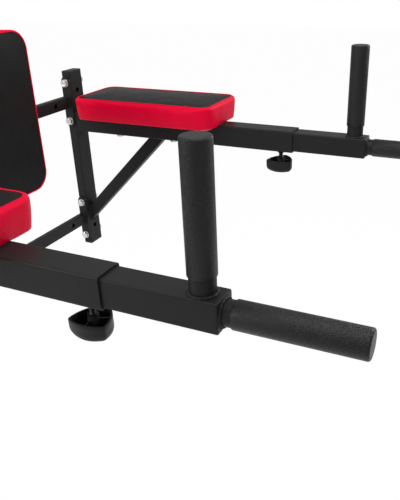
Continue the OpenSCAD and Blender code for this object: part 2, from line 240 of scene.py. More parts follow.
class DIPSTATION_PG_pad(bpy.types.PropertyGroup):
    pitch: length("Mesh pitch", "Distance between the points of a pad's mesh", 5 * MM)
    slack: length("Slack", "How much smaller the cover is cut than the finished pad", 1.6 * MM)
    roll: length("Edge roll", "How far the side panel rolls over the top edge", 5.5 * MM)
    tuck: length("Tuck", "How far the sides pull in at the board", 3.6 * MM)
    fold: length("Fold", "Width of the cover folded under the board", 24 * MM)
    cover: length("Cover", "Thickness of the folded cover", 0.9 * MM)
    piping: length("Piping", "Radius of the piping", 1.0 * MM)
    back_roll: length("Back roll", "The same roll on the back pad", 2.2 * MM)
    pressure: number("Pressure", "How hard the foam pushes", 4)
    steps: IntProperty(name="Steps", description="Frames of simulation", default=20, min=2)
    pucker: length("Pucker", "Depth of the gathers at the corners", 0.5 * MM)
    staple_pitch: length("Staple pitch", "Distance between staples", 32 * MM)


class DIPSTATION_PG_grip(bpy.types.PropertyGroup):
    pebble: length("Pebble", "Size of the pebbles on the grips", 0.95 * MM)
    mouth: length("Mouth", "Bevel at a grip's open end", 1.2 * MM)
    end_round: length("End round", "Radius at a grip's closed end", 2.6 * MM)


class DIPSTATION_PG_knob(bpy.types.PropertyGroup):
    width: length("Width", "Distance across the lobes", 49 * MM)
    corner: length("Corner", "Rounding of the lobes' points", 2.0 * MM)
    wall: length("Wall", "Thickness of the knob's wall", 2.6 * MM)
    straight: length("Straight", "Height of the knob's straight side", 8 * MM)
    hub: length("Hub", "Radius of the hub", 7.5 * MM)
    thread_pitch: length("Thread pitch", "Pitch of the clamp screw", 1.25 * MM)


class DIPSTATION_PG_weld(bpy.types.PropertyGroup):
    radius: length("Bead", "Radius of a weld bead", 2.4 * MM)
    ripple: length("Ripple", "Distance between a bead's ripples", 1.9 * MM)


# ---- meshes ----------------------------------------------------------------------------

def piece(name, vertices, faces, materials, body, indices=None, smooth=True):
    """A finished mesh object in the row frame, riding on a body."""
    mesh = bpy.data.meshes.new(name)
    mesh.from_pydata([tuple(v) for v in vertices], [], faces)
    for material in materials:
        mesh.materials.append(material)
    if indices:
        mesh.polygons.foreach_set("material_index", indices)
    mesh.validate()
    if smooth:
        mesh.shade_smooth()
    return mount(name, mesh, body)


def mount(name, mesh, body):
    obj = bpy.data.objects.new(name, mesh)
    bpy.context.scene.collection.objects.link(obj)
    if body:
        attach(obj, body)
    return obj


def loft(rings, close_start=True, close_end=True, around=False):
    """Skin over closed rings with the same number of points; around joins last to first."""
    count = len(rings[0])
    vertices = [v for ring in rings for v in ring]
    faces = []
    for row in range(len(rings) - (0 if around else 1)):
        for i in range(count):
            j = (i + 1) % count
            low, high = row * count, (row + 1) % len(rings) * count
            faces.append((low + i, low + j, high + j, high + i))
    if around:
        return vertices, faces
    if close_start:
        faces.append(tuple(reversed(range(count))))
    if close_end:
        last = (len(rings) - 1) * count
        faces.append(tuple(last + i for i in range(count)))
    return vertices, faces


def placed(vertices, matrix):
    return [matrix @ Vector(v) for v in vertices]


def standing(at, axis):
    """Matrix that stands a piece made along +Z at a place, along an axis."""
    return Matrix.Translation(at) @ UP.rotation_difference(axis).to_matrix().to_4x4()


def spoke(radius, angle, height=0.0):
    return Vector((radius * math.cos(angle), radius * math.sin(angle), height))


def turns(count):
    """Angles of count steps once around."""
    return [2 * math.pi * i / count for i in range(count)]


def circle(radius, height, count):
    return [spoke(radius, a, height) for a in turns(count)]


def lathe(profile, count=48):
    """Rings from (radius, height) pairs."""
    return [circle(radius, height, count) for radius, height in profile]


def arc(centre_r, centre_h, radius, start, end, steps):
    """Points of a round on a lathe profile, angles in degrees from the outward direction."""
    points = []
    for i in range(steps + 1):
        a = math.radians(start + (end - start) * i / steps)
        points.append((centre_r + radius * math.cos(a), centre_h + radius * math.sin(a)))
    return points


def edit(obj, change):
    """Runs a change on an object's mesh as a BMesh."""
    mesh = bmesh.new()
    mesh.from_mesh(obj.data)
    change(mesh)
    mesh.to_mesh(obj.data)
    mesh.free()


def shell(name, shape, degrees=35, at=None, material=None, body=None, node=None):
    """A closed piece with outward faces and crisp edges, in place of a CAD node."""
    vertices, faces = shape
    obj = piece(name, placed(vertices, at) if at else vertices, faces,
                [material] if material else [], body)
    edit(obj, lambda mesh: bmesh.ops.recalc_face_normals(mesh, faces=mesh.faces))
    if degrees:
        obj.data.set_sharp_from_angle(angle=math.radians(degrees))
    if node:
        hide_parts(node)
    return obj


def solids(node):
    """The boxes of a CAD node's separate solids, as (low, high) pairs."""
    mesh = bmesh.new()
    mesh.from_mesh(frame["nodes"][node].data)
    bmesh.ops.remove_doubles(mesh, verts=mesh.verts, dist=1e-5)
    boxes, seen = [], set()
    for start in mesh.verts:
        if start.index in seen:
            continue
        seen.add(start.index)
        island, queue = [], [start]
        while queue:
            vertex = queue.pop()
            island.append(vertex.co.copy())
            for edge in vertex.link_edges:
                other = edge.other_vert(vertex)
                if other.index not in seen:
                    seen.add(other.index)
                    queue.append(other)
        low = Vector(min(v[i] for v in island) for i in range(3))
        high = Vector(max(v[i] for v in island) for i in range(3))
        boxes.append((low, high))
    mesh.free()
    return boxes


def middle(box):
    return (box[0] + box[1]) / 2


def spread(ring, centre, across, up):
    """A flat ring laid out around a centre along two directions."""
    return [Vector(centre) + across * p.x + up * p.y for p in ring]


# ---- repeated parts --------------------------------------------------------------------

class NodeGraph:
    """Builds one Geometry Nodes tree with named inputs."""

    def __init__(self, name, inputs):
        self.tree = bpy.data.node_groups.new(name, "GeometryNodeTree")
        face = self.tree.interface
        face.new_socket("Geometry", in_out="INPUT", socket_type="NodeSocketGeometry")
        self.keys = {}
        for label, kind in inputs:
            socket = face.new_socket(label, in_out="INPUT", socket_type=kind)
            self.keys[label] = socket.identifier
        face.new_socket("Geometry", in_out="OUTPUT", socket_type="NodeSocketGeometry")
        self.entry = self.tree.nodes.new("NodeGroupInput")

    def node(self, kind, settings=None, **named):
        """One node; values or links go to its enabled inputs by name. Returns its outputs."""
        node = self.tree.nodes.new(kind)
        for key, value in (settings or {}).items():
            setattr(node, key, value)
        for key, value in named.items():
            socket = next(s for s in node.inputs if s.enabled and s.name == key.replace("_", " "))
            if isinstance(value, bpy.types.NodeSocket):
                self.tree.links.new(value, socket)
            else:
                socket.default_value = value
        return {s.name: s for s in node.outputs if s.enabled}

    def close(self, instances):
        """Realize Instances and Set Material end every tree."""
        real = self.node("GeometryNodeRealizeInstances", Geometry=instances)["Geometry"]
        finish = self.node("GeometryNodeSetMaterial", Geometry=real,
                           Material=self.entry.outputs["Finish"])["Geometry"]
        self.node("NodeGroupOutput", Geometry=finish)
        return self

    def grow(self, name, source, values, body, slot):
        """Runs the tree on a source object, and keeps the result as a plain mesh piece."""
        carrier = bpy.data.objects.new(name + "_carrier", source)
        bpy.context.scene.collection.objects.link(carrier)
        modifier = carrier.modifiers.new("grow", "NODES")
        modifier.node_group = self.tree
        for label, value in values.items():
            modifier[self.keys[label]] = value
        graph = bpy.context.evaluated_depsgraph_get()
        mesh = bpy.data.meshes.new_from_object(carrier.evaluated_get(graph), depsgraph=graph)
        bpy.data.objects.remove(carrier)
        mesh.name = name
        return mount(name, mesh, body)


def repeat_tree():
    """Stands a part at every point, its Z axis along the point's aim."""
    graph = NodeGraph("repeat a part", [("Part", "NodeSocketObject"),
                                        ("Finish", "NodeSocketMaterial")])
    part = graph.node("GeometryNodeObjectInfo", Object=graph.entry.outputs["Part"])["Geometry"]
    aim, side = (graph.node("GeometryNodeInputNamedAttribute", {"data_type": "FLOAT_VECTOR"},
                            Name=name) for name in ("aim", "side"))
    turn = graph.node("FunctionNodeAlignRotationToVector", {"axis": "Z"}, Vector=aim["Attribute"])
    turn = graph.node("FunctionNodeAlignRotationToVector", {"axis": "X", "pivot_axis": "Z"},
                      Rotation=turn["Rotation"], Vector=side["Attribute"])
    stood = graph.node("GeometryNodeInstanceOnPoints", Points=graph.entry.outputs["Geometry"],
                       Instance=part, Rotation=turn["Rotation"])
    return graph.close(stood["Instances"])


def weld_tree():
    """A rippled bead along the edges of a path."""
    graph = NodeGraph("weld bead", [("Radius", "NodeSocketFloat"), ("Ripple", "NodeSocketFloat"),
                                    ("Seed", "NodeSocketInt"), ("Finish", "NodeSocketMaterial")])
    entry = graph.entry.outputs
    path = graph.node("GeometryNodeMeshToCurve", Mesh=entry["Geometry"])["Curve"]
    points = graph.node("GeometryNodeResampleCurve", {"mode": "LENGTH"}, Curve=path,
                        Length=entry["Ripple"])["Curve"]
    drop = graph.node("GeometryNodeMeshUVSphere", Segments=8, Rings=6, Radius=1.0)["Mesh"]
    along = graph.node("GeometryNodeInputTangent")["Tangent"]
    turn = graph.node("FunctionNodeAlignRotationToVector", {"axis": "X"}, Vector=along)["Rotation"]
    size = graph.node("FunctionNodeRandomValue", {"data_type": "FLOAT"}, Min=0.86, Max=1.1,
                      Seed=entry["Seed"])
    wide = graph.node("ShaderNodeVectorMath", {"operation": "SCALE"}, Vector=(1.25, 1, 1),
                      Scale=size["Value"])["Vector"]
    wide = graph.node("ShaderNodeVectorMath", {"operation": "SCALE"}, Vector=wide,
                      Scale=entry["Radius"])["Vector"]
    drops = graph.node("GeometryNodeInstanceOnPoints", Points=points, Instance=drop, Rotation=turn,
                       Scale=wide)["Instances"]
    return graph.close(drops)


def point_mesh(points, aims, sides):
    """Loose points that carry an aim and a side direction."""
    mesh = bpy.data.meshes.new("points")
    mesh.from_pydata([tuple(p) for p in points], [], [])
    for label, vectors in (("aim", aims), ("side", sides)):
        layer = mesh.attributes.new(label, "FLOAT_VECTOR", "POINT")
        layer.data.foreach_set("vector", [c for v in vectors for c in v])
    return mesh


def path_mesh(loops):
    """Closed loops of edges."""
    vertices, edges = [], []
    for loop in loops:
        first = len(vertices)
        vertices += [tuple(p) for p in loop]
        edges += [(first + i, first + (i + 1) % len(loop)) for i in range(len(loop))]
    mesh = bpy.data.meshes.new("path")
    mesh.from_pydata(vertices, edges, [])
    return mesh


# ---- finishes --------------------------------------------------------------------------

def powder_coat(name, shade):
    """Satin powder coat with a fine orange peel."""
    paint = Paint(name)
    peel = paint.noise(1.6 * MM, detail=2)
    grain = paint.noise(0.35 * MM, detail=1)
    drift = paint.noise(60 * MM, detail=2)
    tone = paint.mix(drift, scaled(shade, 0.85), scaled(shade, 1.15))
    rough = 0.36 + 0.1 * paint.noise(25 * MM) + 0.05 * grain
    relief = paint.bump(peel + 0.35 * grain, 0.12 * MM, 0.55)
    return paint.finish(tone, Roughness=rough, Normal=relief, Specular_IOR_Level=0.16)


def moulded_plastic(name, shade):
    """Spark-eroded black plastic, a little polished by hands."""
    paint = Paint(name)
    grain = paint.cells(0.5 * MM)
    rubbed = paint.noise(14 * MM, detail=3)
    relief = paint.bump(grain, 0.05 * MM, 0.6)
    tone = paint.mix(rubbed, scaled(shade, 0.8), scaled(shade, 1.3))
    return paint.finish(tone, Roughness=0.34 + 0.14 * rubbed, Normal=relief,
                        Specular_IOR_Level=0.2)


def pebbled_rubber(name, shade, pebble):
    """Matt rubber with raised pebbles, their tops painted paler as painted highlight, the gaps
    between them painted darker as painted shade, and paler worn patches.
    """
    paint = Paint(name)
    bent = paint.noise(3 * pebble, detail=2)
    cells = paint.cells(pebble)
    fine = paint.noise(0.3 * pebble, detail=2)
    tops = paint.between(cells, 0.55, 0.05)
    worn = paint.between(paint.noise(1.5 * pebble, detail=2), 0.45, 0.7)
    # painted highlight on the pebble tops and painted shade between them, mixed half and half with
    # the random worn patches
    tone = paint.mix(0.5 * tops + 0.5 * worn, scaled(shade, 0.55), scaled(shade, 1.9))
    relief = paint.bump(tops + 0.4 * fine + 0.6 * bent, 0.3 * MM, 0.8)
    return paint.finish(tone, Roughness=0.42 - 0.14 * tops, Normal=relief,
                        Specular_IOR_Level=0.3)


def vinyl(name, shade):
    """Upholstery vinyl: fine embossed grain and soft creases under a satin skin."""
    paint = Paint(name)
    grain = paint.cells(1.1 * MM, "DISTANCE_TO_EDGE")
    pores = paint.between(grain, 0.0, 0.22)
    crease = paint.noise(9 * MM, detail=4)
    broad = paint.noise(55 * MM, detail=2)
    # painted shade: the grain's grooves are a fifth darker than the vinyl's own colour
    shaded_groove_tone = paint.mix(pores, scaled(shade, 0.8), shade)
    tone = paint.mix(0.35 * broad, shaded_groove_tone, scaled(shade, 1.25))
    pulled = paint.noise(30 * MM, detail=3, where=paint.add(
        "ShaderNodeMapping", {}, Vector=paint.place, Scale=(1.0, 1.0, 0.35), out="Vector"))
    relief = paint.bump(pores * 0.08 + crease * 0.5 + 3 * pulled, 1.2 * MM, 0.6)
    rough = 0.44 - 0.08 * pores + 0.12 * (crease - 0.5)
    return paint.finish(tone, Roughness=rough, Normal=relief, Specular_IOR_Level=0.07)


def zinc_plate(name, shade):
    """Bright zinc over turned steel, with fine scratches and duller patches."""
    paint = Paint(name)
    patch = paint.noise(5 * MM, detail=3)
    scratch = paint.noise(0.25 * MM, detail=2)
    tone = paint.mix(patch, scaled(shade, 0.82), shade)
    relief = paint.bump(scratch, 0.03 * MM, 0.5)
    return paint.finish(tone, Metallic=0.95, Roughness=0.24 + 0.2 * patch, Normal=relief)


def black_oxide(name):
    """Oiled black oxide on a screw thread."""
    paint = Paint(name)
    patch = paint.noise(4 * MM, detail=3)
    tone = paint.mix(patch, (0.02, 0.02, 0.021), (0.05, 0.048, 0.045))
    return paint.finish(tone, Metallic=0.7, Roughness=0.36 + 0.16 * patch)


def nylon(name):
    paint = Paint(name)
    cloud = paint.noise(6 * MM)
    tone = paint.mix(cloud, (0.72, 0.7, 0.64), (0.8, 0.78, 0.72))
    return paint.finish(tone, Roughness=0.42 + 0.1 * cloud)


def plywood(name):
    """Rotary-cut face grain, knots and darker glue lines."""
    paint = Paint(name)
    stretched = paint.add("ShaderNodeMapping", {}, Vector=paint.place, Scale=(1.0, 0.12, 0.12),
                          out="Vector")
    grain = paint.noise(3 * MM, detail=6, roughness=0.7, where=stretched)
    figure = paint.noise(26 * MM, detail=3, where=stretched)
    wood = paint.mix(figure, (0.42, 0.25, 0.12), (0.62, 0.43, 0.24))
    tone = paint.mix(0.45 * grain, wood, (0.26, 0.14, 0.06))
    relief = paint.bump(grain, 0.25 * MM, 0.5)
    return paint.finish(tone, Roughness=0.72 + 0.15 * grain, Normal=relief)


def floor_finish(name, shade, lift):
    """Pale floor that the camera sees as white paper, with the station's shadow on it."""
    paint = Paint(name)
    seen = paint.add("ShaderNodeLightPath", {}, out="Is Camera Ray")
    cloud = paint.noise(0.7, detail=2)
    tone = paint.mix(cloud, scaled(shade, 0.98), shade)
    surface = paint.add("ShaderNodeBsdfDiffuse", {}, Color=tone)
    glow = paint.add("ShaderNodeEmission", {}, Color=(1, 1, 1, 1), Strength=1.0)
    blend = paint.add("ShaderNodeMixShader", {}, seen * lift, surface, glow)
    paint.add("ShaderNodeOutputMaterial", {}, Surface=blend)
    return paint.material


def finishes(scene):
    """Every finish by slot name, made once."""
    tones = scene.dipstation_finish
    if "powder_coat_finish" not in bpy.data.materials:
        powder_coat("powder_coat_finish", tones.powder)
        moulded_plastic("black_plastic_finish", tones.plastic)
        pebbled_rubber("grip_rubber_finish", tones.rubber, scene.dipstation_grip.pebble)
        vinyl("red_vinyl_finish", tones.red)
        vinyl("black_vinyl_finish", tones.black)
        zinc_plate("zinc_finish", tones.zinc)
        black_oxide("black_steel_finish")
        nylon("nylon_finish")
        plywood("plywood_finish")
    return {m.name.removesuffix("_finish"): m for m in bpy.data.materials
            if m.name.endswith("_finish")}


# ---- pads ------------------------------------------------------------------------------

def rounded_outline(half_w, half_l, radius, pitch):
    """Points around a rounded rectangle with outward normals and, on the rounds, a 1."""
    straight = [2 * (half_l - radius), 2 * (half_w - radius)] * 2
    quarter = math.pi * radius / 2
    steps = [(max(2, round(s / pitch)), max(3, round(quarter / pitch))) for s in straight]
    points = []
    for side, (run, bend) in enumerate(steps):
        normal = Vector((math.cos(side * math.pi / 2), math.sin(side * math.pi / 2)))
        along = Vector((-normal.y, normal.x))
        reach = half_w if side % 2 == 0 else half_l
        other = half_l if side % 2 == 0 else half_w
        for i in range(run):
            offset = -(other - radius) + straight[side] * i / run
            points.append((normal * reach + along * offset, normal, 0))
        centre = normal * (reach - radius) + along * (other - radius)
        for i in range(bend):
            a = side * math.pi / 2 + math.pi / 2 * i / bend
            out = Vector((math.cos(a), math.sin(a)))
            points.append((centre + out * radius, out, 1))
    return points


class Pad:
    """A cushion cover in its own frame: X across, Y along, Z away from the board."""

    def __init__(self, name, node, to_world, size, radius, tools, roll, bears):
        self.name = name
        self.node = node
        self.bears = bears                     # where the fold is squeezed flat on steel
        self.to_world = to_world
        self.tools = tools
        self.roll = roll
        self.half_w, self.half_l, self.height = size[0] / 2, size[1] / 2, size[2]
        self.outline = rounded_outline(self.half_w - tools.slack, self.half_l - tools.slack,
                                       radius, tools.pitch)
        self.count = len(self.outline)
        self.rings, self.roles = [], []
        self.build()

    def ring(self, role, inset, height):
        ring = [Vector((*(p - n * inset), height)) for p, n, _ in self.outline]
        for point in ring:
            if height < 0 and self.bears(point):
                point.z = 0.1 * MM
        self.rings.append(ring)
        self.roles.append(role)

    def build(self):
        tools = self.tools
        edge = self.height - CROWN
        roll, tuck, fold = self.roll, tools.tuck, tools.fold
        self.ring("hidden", fold, 0.5 * MM)
        self.ring("fold", fold, -tools.cover)
        for part in (0.75, 0.5, 0.25):
            self.ring("fold", tuck + (fold - tuck) * part, -tools.cover)
        self.ring("fold", tuck + 1.2 * MM, -tools.cover)
        self.ring("fold", tuck, 0.2 * MM)
        side = edge - roll
        for step in range(1, 8):
            height = side * step / 7
            self.ring("side", tuck * (1 - step / 7) ** 1.6, height)
        for step in range(1, 5):
            a = math.radians(82) * step / 4
            self.ring("side", roll * (1 - math.cos(a)), side + roll * math.sin(a))
        self.ring("seam", roll + 0.8 * MM, edge - SEAM_DROP)
        seam = self.rings[-1]
        core = max(0.0, self.half_l - self.half_w)
        across = self.half_w - roll
        rows = max(4, round(across / (1.15 * tools.pitch)))
        for row in range(1, rows + 1):
            t = row / rows
            ring = []
            for point in seam:
                heart = Vector((0, max(-core, min(core, point.y)), 0))
                flat = point.lerp(heart, t)
                flat.z = edge - SEAM_DROP + 3.5 * MM * (1 - (1 - min(1, 1.6 * t)) ** 2)
                ring.append(flat)
            self.rings.append(ring)
            self.roles.append("face")

    def mesh_object(self, materials):
        vertices, faces = loft(self.rings, close_start=True, close_end=False)
        indices = []
        for row in range(len(self.rings) - 1):
            black = self.roles[row + 1] == "face"
            indices += [1 if black else 0] * self.count
        indices.append(0)
        obj = piece(self.name, vertices, faces, materials, None, indices)

        def close_heart(mesh):
            heart = [v for v in mesh.verts if v.index >= (len(self.rings) - 1) * self.count]
            bmesh.ops.remove_doubles(mesh, verts=heart, dist=0.2 * MM)
            bmesh.ops.recalc_face_normals(mesh, faces=mesh.faces)

        edit(obj, close_heart)
        return obj

    def held(self):
        """How firmly each point is held while the foam pushes: board side fully, seam nearly."""
        firmness = {"hidden": 1.0, "fold": 1.0, "seam": 0.9, "side": 0.0, "face": 0.0}
        return [firmness[role] for role in self.roles for _ in range(self.count)]

    def inflate(self, obj):
        """Cloth pushed out by the foam, its travel capped."""
        tools = self.tools
        start = [v.co.copy() for v in obj.data.vertices]
        pins = obj.vertex_groups.new(name="held")
        for index, weight in enumerate(self.held()[:len(start)]):
            if weight:
                pins.add([index], weight, "REPLACE")
        cloth = obj.modifiers.new("cloth", "CLOTH")
        for key, value in CLOTH.items():
            setattr(cloth.settings, key, value)
        cloth.settings.uniform_pressure_force = tools.pressure
        cloth.settings.effector_weights.gravity = 0
        cloth.collision_settings.use_collision = False
        cloth.point_cache.frame_start = 1
        cloth.point_cache.frame_end = tools.steps
        scene = bpy.context.scene
        for step in range(1, tools.steps + 1):
            scene.frame_set(step)
        graph = bpy.context.evaluated_depsgraph_get()
        swollen = [v.co.copy() for v in obj.evaluated_get(graph).data.vertices]
        obj.modifiers.remove(cloth)
        obj.vertex_groups.remove(pins)
        scene.frame_set(1)
        for vertex, before, after in zip(obj.data.vertices, start, swollen):
            move = after - before
            limit = FACE_TRAVEL if before.z > self.height - 9 * MM else SIDE_TRAVEL
            if move.length > limit:
                move = move.normalized() * limit
            vertex.co = before + move

    def pucker(self, obj):
        """Gathers below the seam at the corners and faint unevenness elsewhere."""
        tools = self.tools
        top = self.height - CROWN
        run = 0.0
        for i in range(self.count):
            here, normal, round_part = self.outline[i]
            run += (here - self.outline[i - 1][0]).length if i else 0.0
            for row, role in enumerate(self.roles):
                if role != "side":
                    continue
                vertex = obj.data.vertices[row * self.count + i]
                nearness = max(0.0, 1 - (top - vertex.co.z) / (26 * MM))
                wave = math.sin(run / (1.3 * MM)) * tools.pucker * nearness * round_part
                drift = noise.noise(vertex.co * 28) * 0.7 * MM
                vertex.co += Vector((*normal, 0)) * (wave + drift)

    def make(self, materials, body, slot):
        obj = self.mesh_object(materials)
        self.inflate(obj)
        self.pucker(obj)
        row = self.roles.index("seam")
        seam = [obj.data.vertices[row * self.count + i].co.copy() for i in range(self.count)]
        smooth = obj.modifiers.new("smooth", "SUBSURF")
        smooth.levels = smooth.render_levels = 1
        graph = bpy.context.evaluated_depsgraph_get()
        mesh = bpy.data.meshes.new_from_object(obj.evaluated_get(graph), depsgraph=graph)
        bpy.data.objects.remove(obj)
        self.local, self.seam = mesh, seam
        mesh.shade_smooth()
        return self.copy(self.name, self.to_world, self.node, body, slot)

    def copy(self, name, to_world, node, body, slot):
        """The finished cover, and the same again for a twin pad."""
        mesh = self.local.copy()
        mesh.name = name
        mesh.transform(to_world)
        obj = mount(name, mesh, body)
        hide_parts(node)
        return obj

    def piping(self, name, to_world, material, body, slot):
        """A thin cord sewn into the seam."""
        tools = self.tools
        path = [p + Vector((0, 0, 0.6 * tools.piping)) for p in self.seam]
        vertices, faces = tube(path, tools.piping, 8)
        return piece(name, placed(vertices, to_world), faces, [material], body)


def tube(path, radius, sides):
    """A closed round cord along a closed path."""
    rings = []
    for i, point in enumerate(path):
        along = (path[(i + 1) % len(path)] - path[i - 1]).normalized()
        side = along.cross(UP).normalized()
        up = side.cross(along)
        rings.append([point + side * radius * math.cos(a) + up * radius * math.sin(a)
                      for a in turns(sides)])
    return loft(rings, around=True)


def staple_part():
    """One flat staple: a crown with turned-down legs."""
    half, wire, leg = 5 * MM, 0.45 * MM, 1.2 * MM
    path = [(-half, -leg), (-half, 0.2 * MM), (-half + 0.5 * MM, 0.7 * MM),
            (half - 0.5 * MM, 0.7 * MM), (half, 0.2 * MM), (half, -leg)]
    rings = []
    for x, z in path:
        rings.append([Vector((x + wire * dx, wire * dy, z + wire * dx * 0.5))
                      for dx, dy in ((-1, -1), (1, -1), (1, 1), (-1, 1))])
    return shell("staple_part", loft(rings), degrees=0)


def staple_rows(pad, to_world):
    """Places, aims and sides of the staples around a pad's folded cover, clear of the steel."""
    tools = pad.tools
    line = rounded_outline(pad.half_w - STAPLE_INSET, pad.half_l - STAPLE_INSET, 14 * MM,
                           tools.staple_pitch)
    turn = to_world.to_3x3()
    points, aims, sides = [], [], []
    for point, normal, _ in line:
        place = Vector((*point, -tools.cover))
        if not pad.bears(place):
            points.append(to_world @ place)
            aims.append(turn @ DOWN)
            sides.append(turn @ Vector((-normal.y, normal.x, 0)))
    return points, aims, sides


# ---- fasteners -------------------------------------------------------------------------

def hex_rings(across, height, chamfer, count=48):
    """Rings of a hexagon whose top corners are turned down by a cone."""
    flat = across / 2

    def corner(a):
        return flat / math.cos((a + math.pi / 6) % (math.pi / 3) - math.pi / 6)

    low, rim = [], []
    for a in turns(count):
        r = corner(a)
        low.append(spoke(r, a))
        fall = chamfer * (0.15 + (r - flat) / (flat / math.cos(math.pi / 6) - flat))
        rim.append(spoke(r, a, height - fall))
    return low, rim, circle(flat * 0.95, height, count)


def bolt_part(across, height, radius, reach, pitch):
    """Hex bolt with the underside of its head at the origin, its thread along +Z."""
    low, rim, top = hex_rings(across, height, 0.14 * height)
    dish = [circle(r, z, len(low))
            for r, z in ((across * 0.36, height), (across * 0.3, height - 0.2 * MM))]
    rings = [[Vector((v.x, v.y, -v.z)) for v in ring] for ring in (low, rim, top, *dish)]
    vertices, faces = loft(rings)
    plain = reach - 14 * MM
    shank, skin = loft([circle(radius, z, 20) for z in (-0.5 * MM, plain)])
    thread, wind = thread_rings(radius, pitch, plain - 0.5 * MM, reach, Vector((0, 0, 0)))
    for more, cover in ((shank, skin), (thread, wind)):
        first = len(vertices)
        vertices = vertices + list(more)
        faces += [tuple(first + i for i in face) for face in cover]
    return shell("bolt_part", (vertices, faces), 28)


def lock_nut_part(across, height, bore):
    low, rim, top = hex_rings(across, 0.78 * height, 0.1 * height)
    count = len(low)
    collar = lathe([(0.45 * across, 0.8 * height), (0.42 * across, 0.95 * height),
                    (0.37 * across, height), (bore + 0.7 * MM, 0.985 * height),
                    (bore + 0.3 * MM, 0.9 * height), (bore, 0.7 * height), (bore, 0)], count)
    return shell("lock_nut_part", loft([low, rim, top, *collar], around=True), 28)


def washer_part(outer, bore, thickness):
    edge = 0.25 * MM
    profile = [(bore + edge, 0), (outer - edge, 0), (outer, edge), (outer, thickness - edge),
               (outer - edge, thickness), (bore + edge, thickness), (bore, thickness - edge),
               (bore, edge)]
    return shell("washer_part", loft(lathe(profile, 40), around=True))


def thread_rings(radius, pitch, low, high, centre, count=20):
    """A screw thread along Z as one helical skin with closed, chamfered ends."""
    depth = 0.55 * pitch
    rows = max(6, round((high - low) / pitch * 5))
    rings = []
    for row in range(rows + 1):
        height = low + (high - low) * row / rows
        ends = min(1.0, (high - height) / pitch, (height - low) / pitch)
        ring = []
        for i, a in enumerate(turns(count)):
            phase = (height / pitch - i / count) % 1.0
            r = radius - depth * max(abs(2 * phase - 1), 1 - ends)
            ring.append(centre + spoke(r, a, height))
        rings.append(ring)
    return loft(rings)


def unlink(*parts):
    for part in parts:
        bpy.data.objects.remove(part)


# ---- knobs -----------------------------------------------------------------------------

def lobed_radius(angle, width, corner):
    """Radius of a rounded three-lobed curve of constant width, one lobe at angle 0."""
    core = width - 2 * corner              # the sharp curve inside the rounding
    reach = core / math.sqrt(3)
    a = (angle + math.pi / 3) % (2 * math.pi / 3) - math.pi / 3
    direction = Vector((math.cos(a), math.sin(a)))
    best = 0.0
    tip = Vector((reach, 0))               # the rounded point
    across = direction.x * tip.x
    gap = corner ** 2 - (tip.length_squared - across ** 2)
    if gap >= 0:
        best = across + math.sqrt(gap)
    for third in (1, -1):                  # the two long arcs beside it
        centre = spoke(reach, third * 2 * math.pi / 3).xy
        big = core + corner
        along = direction.dot(centre)
        root = along + math.sqrt(big ** 2 - (centre.length_squared - along ** 2))
        point = direction * root - centre
        heading = math.atan2(point.y, point.x) + third * math.pi / 3
        if abs(heading) <= math.pi / 6 + 1e-6:
            best = max(best, root)
    return best


def knob_mesh(tall, tools):
    """Three-lobed knob: domed base, straight sides, hollow top with a ribbed hub."""
    width = tools.width
    count = 96
    angles = turns(count)
    lobes = [lobed_radius(a, width, tools.corner) for a in angles]

    def ring(height, inset=0.0, blend=0.0, radius=0.0):
        """blend goes from the lobed outline, at 0, to a circle of the radius, at 1."""
        return [spoke((r - inset) * (1 - blend) + radius * blend, a, height)
                for a, r in zip(angles, lobes)]

    reach = width / math.sqrt(3)
    rim = tall - HUB_RISE
    dome = rim - tools.straight
    rings = []
    for step in range(1, 9):                # domed base
        a = math.pi / 2 * step / 9
        rings.append(ring(dome * (1 - math.cos(a)), blend=1 - math.sin(a) ** 1.3,
                          radius=reach * 0.86 * math.sin(a) ** 0.95))
    wall, hub, floor, top = tools.wall, tools.hub, 2 * tools.wall, rim + HUB_RISE
    rings += [ring(height, inset) for height, inset in (
        (dome + 0.5 * MM, 0.15 * MM), (dome + 1.6 * MM, 0), (rim - 0.9 * MM, 0),
        (rim - 0.25 * MM, 0.25 * MM), (rim, 0.9 * MM), (rim, wall - 0.6 * MM),
        (rim - 0.6 * MM, wall), (0.5 * rim, wall + 0.2 * MM))]
    rings.append(ring(floor + 2 * MM, wall + 0.8 * MM, 0.35, reach * 0.6))
    rings.append(ring(floor, 0, 0.75, hub + 2.5 * MM))
    rings += lathe([(hub + 0.6 * MM, floor), (hub, floor + 0.8 * MM),
                    (hub - 0.3 * MM, rim - 0.5 * MM), (hub - 0.9 * MM, rim + 0.4 * MM),
                    (6.4 * MM, top - 0.6 * MM), (5.7 * MM, top), (4.3 * MM, top),
                    (3.6 * MM, top - 1.2 * MM)], count)
    vertices, faces = loft(rings)
    for k in range(3):                       # ribs from the hub to the wall
        a = math.pi / 3 + 2 * math.pi * k / 3
        out = spoke(1, a)
        side = Vector((-out.y, out.x, 0)) * 0.9 * MM
        inner, outer = hub - 1 * MM, min(lobes) - wall + 0.4 * MM
        first = len(vertices)
        for r, z in ((inner, floor - 1 * MM), (outer, floor - 1 * MM),
                     (outer, rim - 3 * MM), (inner, rim - 2.2 * MM)):
            vertices += [spoke(r, a, z) + side, spoke(r, a, z) - side]
        faces += [tuple(first + i for i in loop) for loop in
                  ((0, 2, 4, 6), (7, 5, 3, 1), (0, 1, 3, 2), (2, 3, 5, 4), (4, 5, 7, 6),
                   (6, 7, 1, 0))]
    return vertices, faces


# ---- grips, caps and nuts --------------------------------------------------------------

def grip_profile(box_size, tools):
    """Open end at 0 with a small bevel, closed end rounded, for a lathe."""
    radius, reach = box_size
    bore, end = radius - 1.45 * MM, 3 * MM
    profile = [(bore, reach - end), (bore, 0.6 * MM), (bore + 0.4 * MM, 0)]
    profile += [(radius - tools.mouth, 0), (radius - 0.35 * tools.mouth, 0.35 * tools.mouth)]
    profile += [(radius, tools.mouth), (radius, 0.5 * reach)]
    profile += arc(radius - tools.end_round, reach - tools.end_round, tools.end_round, 0, 90, 7)
    profile += [(0.45 * radius, reach), (0.12 * radius, reach)]
    return profile


